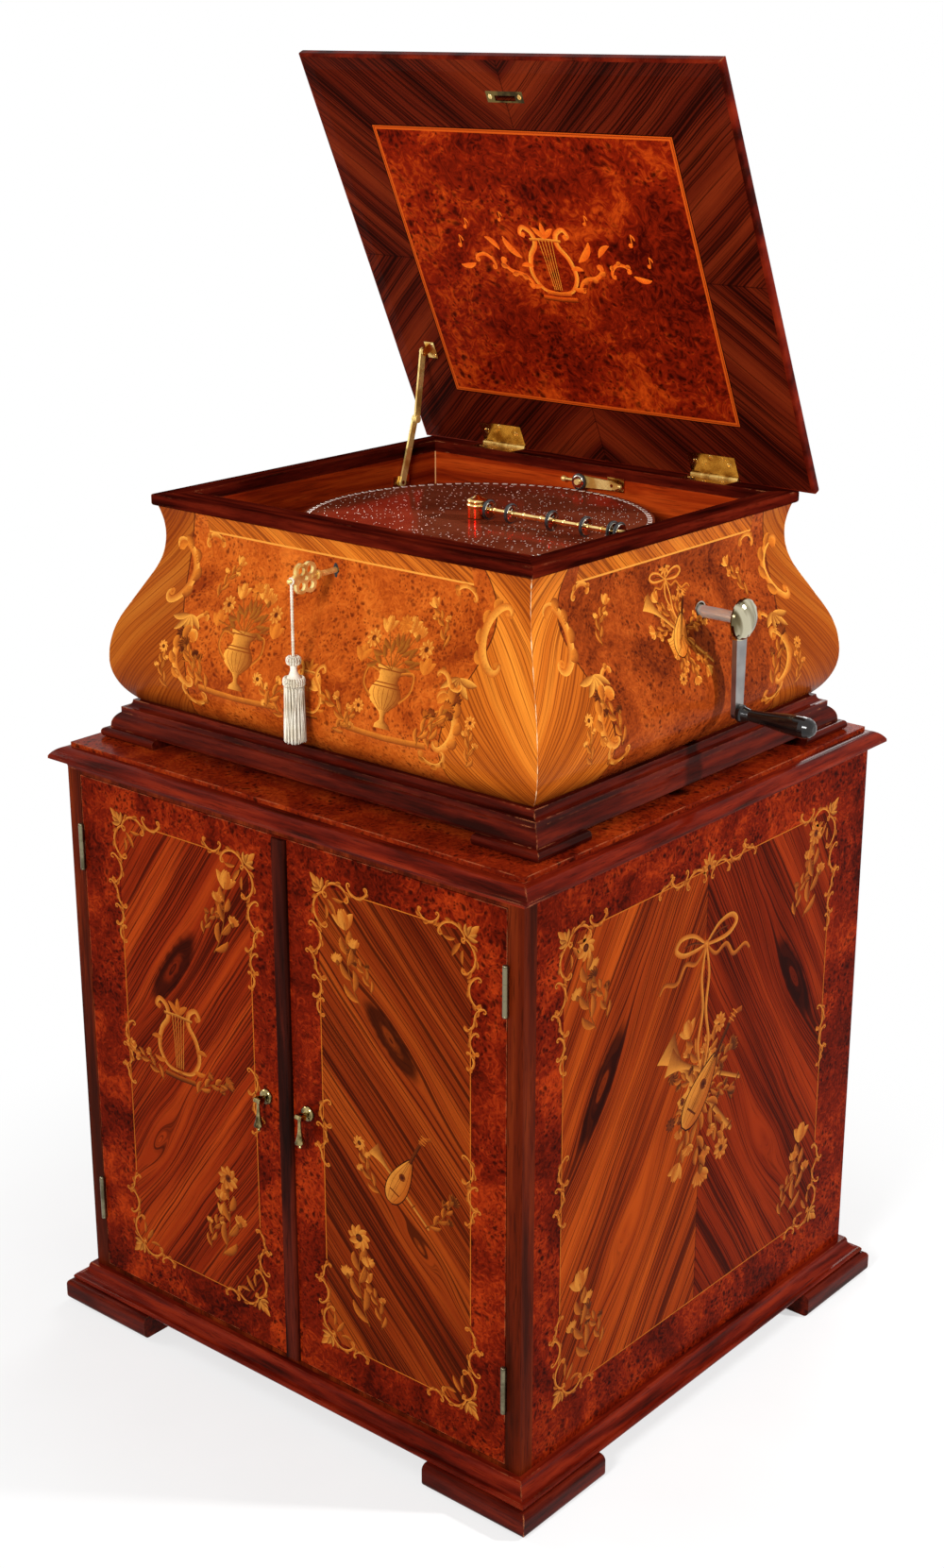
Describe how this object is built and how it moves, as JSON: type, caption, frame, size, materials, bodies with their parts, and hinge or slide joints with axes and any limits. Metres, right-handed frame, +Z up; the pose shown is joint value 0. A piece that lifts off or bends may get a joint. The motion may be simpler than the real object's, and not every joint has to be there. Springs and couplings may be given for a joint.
{
  "type": "cabinet music box",
  "caption": "Disc music box in a bombe case with a lift-up lid, comb mechanism, pressure bar and side crank, standing on a two-door cabinet with disc slots and inlaid veneer.",
  "frame": {"origin": "on the floor under the middle of the cabinet body", "axes": "+Z up, the doors face -Y, the crank is on the +X side"},
  "size_m": [0.7818, 0.693, 1.4629],
  "materials": {
    "mahogany": "dark polished mahogany",
    "brown_mahogany": "plain brown mahogany",
    "rosewood": "figured golden rosewood veneer with inlay",
    "burl": "red-orange burl veneer with inlay",
    "ebonised": "near-black wood",
    "brass": "polished, a little worn",
    "nickel": "nickel-plated steel",
    "disc_steel": "bright plated sheet",
    "gilt_iron": "bronze-painted iron",
    "rubber": "black rubber",
    "cream_silk": "cream silk thread"
  },
  "bodies": {
    "frame": {"cabinet_feet": "mahogany", "base_moulding": "mahogany", "cabinet_shelves": "brown_mahogany", "left_side": "burl", "right_side": "burl", "back_panel": "brown_mahogany", "face_frame": "brown_mahogany", "cabinet_top_board": "burl", "top_moulding": "mahogany", "disc_dividers": "brown_mahogany", "door_hinge_fixed": "nickel", "box_feet": "mahogany", "box_base": "mahogany", "case_front": "rosewood", "case_right": "rosewood", "case_back": "rosewood", "case_left": "rosewood", "rim_frame": "mahogany", "inner_liner": "burl", "deck_board": "brown_mahogany", "lock_case": "brass", "lid_hinge_fixed": "brass", "wall_brackets": "brass", "crank_bush": "nickel", "bedplate": "gilt_iron", "star_gantry": "nickel", "combs": "nickel", "motor_frame": "gilt_iron"},
    "left_door": {"left_door": "burl", "left_hinge_leaves": "nickel", "left_pull_rosette": "brass"},
    "left_drop": {"left_pull_drop": "brass"},
    "right_door": {"right_door": "burl", "astragal": "ebonised", "right_hinge_leaves": "nickel", "right_pull_rosette": "brass"},
    "right_drop": {"right_pull_drop": "brass"},
    "lid": {"lid_board": "rosewood", "lid_edge": "mahogany", "lid_hinge_moving": "brass", "strike_plate": "brass", "stay_lid_bracket": "brass"},
    "stay_lower": {"stay_lower_link": "brass"},
    "stay_upper": {"stay_upper_link": "brass"},
    "key": {"key": "brass"},
    "tassel": {"tassel_cord": "cream_silk", "tassel": "cream_silk"},
    "bolt": {"lock_bolt": "nickel"},
    "crank": {"crank_shaft": "nickel", "crank_arm": "nickel"},
    "grip": {"crank_grip": "ebonised"},
    "disc": {"music_disc": "disc_steel"},
    "sprocket": {"drive_sprocket": "nickel"},
    "barrel": {"spring_barrel": "brass"},
    "governor": {"governor": "brass"},
    "stars": {"star_wheels": "nickel"},
    "bar": {"pressure_bar": "brass"},
    "rollers": {"bar_rollers": "rubber"},
    "edge_arm": {"edge_arm": "brass"},
    "edge_wheel": {"edge_roller": "rubber"}
  },
  "joints": [
    {"name": "lid_hinge", "type": "hinge", "parent": "frame", "child": "lid", "pos_m": [0, 0.2477, 1.0013], "axis": [-1, 0, 0], "range_deg": [-65, 0]},
    {"name": "stay_lower_pivot", "type": "hinge", "parent": "frame", "child": "stay_lower", "pos_m": [-0.239, 0.152, 0.959], "axis": [-1, 0, 0], "range_deg": [-136, 0]},
    {"name": "stay_upper_pivot", "type": "hinge", "parent": "lid", "child": "stay_upper", "pos_m": [-0.236, 0.18753, 1.11448], "axis": [-1, 0, 0], "range_deg": [0, 84]},
    {"name": "left_door_hinge", "type": "hinge", "parent": "frame", "child": "left_door", "pos_m": [-0.3125, -0.3212, 0.371], "axis": [0, 0, -1], "range_deg": [0, 110]},
    {"name": "right_door_hinge", "type": "hinge", "parent": "frame", "child": "right_door", "pos_m": [0.3125, -0.3212, 0.371], "axis": [0, 0, 1], "range_deg": [0, 110]},
    {"name": "left_drop_swing", "type": "hinge", "parent": "left_door", "child": "left_drop", "pos_m": [-0.027, -0.332, 0.376], "axis": [-1, 0, 0], "range_deg": [0, 75]},
    {"name": "right_drop_swing", "type": "hinge", "parent": "right_door", "child": "right_drop", "pos_m": [0.036, -0.332, 0.376], "axis": [-1, 0, 0], "range_deg": [0, 75]},
    {"name": "key_turn", "type": "hinge", "parent": "frame", "child": "key", "pos_m": [0, -0.25, 0.955], "axis": [0, 1, 0], "range_deg": [0, 90]},
    {"name": "bolt_slide", "type": "slide", "parent": "frame", "child": "bolt", "axis": [0, 0, 1], "range_m": [0, 0.009]},
    {"name": "tassel_swing", "type": "hinge", "parent": "key", "child": "tassel", "pos_m": [0, -0.286, 0.955], "axis": [0, 1, 0], "range_deg": [-90, 0]},
    {"name": "crank_turn", "type": "hinge", "parent": "frame", "child": "crank", "pos_m": [0.3, 0.051, 0.903], "axis": [1, 0, 0], "continuous": true},
    {"name": "grip_spin", "type": "hinge", "parent": "crank", "child": "grip", "pos_m": [0.38, 0.051, 0.8], "axis": [1, 0, 0], "continuous": true},
    {"name": "disc_spin", "type": "hinge", "parent": "frame", "child": "disc", "pos_m": [0, 0.009, 0.9716], "axis": [0, 0, 1], "continuous": true},
    {"name": "sprocket_spin", "type": "hinge", "parent": "frame", "child": "sprocket", "pos_m": [0.1915, 0.009, 0.95032], "axis": [1, 0, 0], "continuous": true},
    {"name": "barrel_spin", "type": "hinge", "parent": "frame", "child": "barrel", "pos_m": [0.19, 0.051, 0.903], "axis": [1, 0, 0], "continuous": true},
    {"name": "governor_spin", "type": "hinge", "parent": "frame", "child": "governor", "pos_m": [0.19, 0.051, 0.84184], "axis": [1, 0, 0], "continuous": true},
    {"name": "star_spin", "type": "hinge", "parent": "frame", "child": "stars", "pos_m": [0.102, 0.009, 0.9628], "axis": [1, 0, 0], "continuous": true},
    {"name": "bar_lift", "type": "hinge", "parent": "frame", "child": "bar", "pos_m": [0.2225, 0.009, 0.9835], "axis": [0, 1, 0], "range_deg": [0, 90]},
    {"name": "roller_spin", "type": "hinge", "parent": "bar", "child": "rollers", "pos_m": [0.1, 0.009, 0.9835], "axis": [1, 0, 0], "continuous": true},
    {"name": "edge_arm_lift", "type": "hinge", "parent": "frame", "child": "edge_arm", "pos_m": [0.03802, 0.206, 0.9819], "axis": [0, 1, 0], "range_deg": [0, 45]},
    {"name": "edge_wheel_spin", "type": "hinge", "parent": "edge_arm", "child": "edge_wheel", "pos_m": [-0.00709, 0.2035, 0.9819], "axis": [0, 1, 0], "continuous": true}
  ],
  "couplings": [
    {"joint": "stay_lower_pivot", "follows": "lid_hinge", "ratio": 2.0883},
    {"joint": "stay_upper_pivot", "follows": "lid_hinge", "ratio": -1.2855},
    {"joint": "bolt_slide", "follows": "key_turn", "m_per_rad": 0.005724},
    {"joint": "tassel_swing", "follows": "key_turn", "ratio": -1},
    {"joint": "sprocket_spin", "follows": "disc_spin", "ratio": -9},
    {"joint": "barrel_spin", "follows": "disc_spin", "ratio": 2.25},
    {"joint": "governor_spin", "follows": "disc_spin", "ratio": -10.8}
  ]
}
